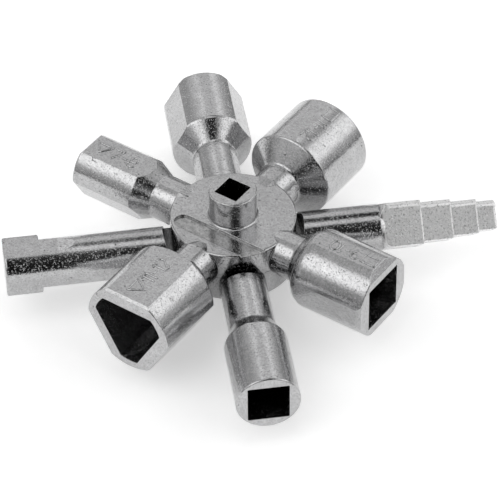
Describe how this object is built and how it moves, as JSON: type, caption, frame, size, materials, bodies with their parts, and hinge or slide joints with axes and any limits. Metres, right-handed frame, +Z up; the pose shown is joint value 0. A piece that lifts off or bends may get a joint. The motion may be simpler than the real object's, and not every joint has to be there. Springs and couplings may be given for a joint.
{
  "type": "multi utility key",
  "caption": "Two stacked die-cast cross keys, joined hub on hub by magnets: square and triangular sockets, a stepped square blade and a double-bit blade on radiating arms.",
  "frame": {"origin": "centre of the lower boss's socket mouth, on the common hub axis; it is the lowest point", "axes": "+Z up along the hub axis; +X along the 9-10 square arm and +Y along the 11-12 square arm of the upper cross"},
  "size_m": [0.0781, 0.0771, 0.0247],
  "materials": {
    "upper_casting": "bright plated zinc die casting, satin with a fine cast grain",
    "lower_casting": "bright plated zinc die casting, satin with a fine cast grain",
    "magnet": "nickel-plated magnet disc"
  },
  "bodies": {
    "root": {"upper_cross_key": "upper_casting", "lower_cross_key": "lower_casting", "upper_magnet": "magnet", "lower_magnet": "magnet"}
  },
  "joints": []
}
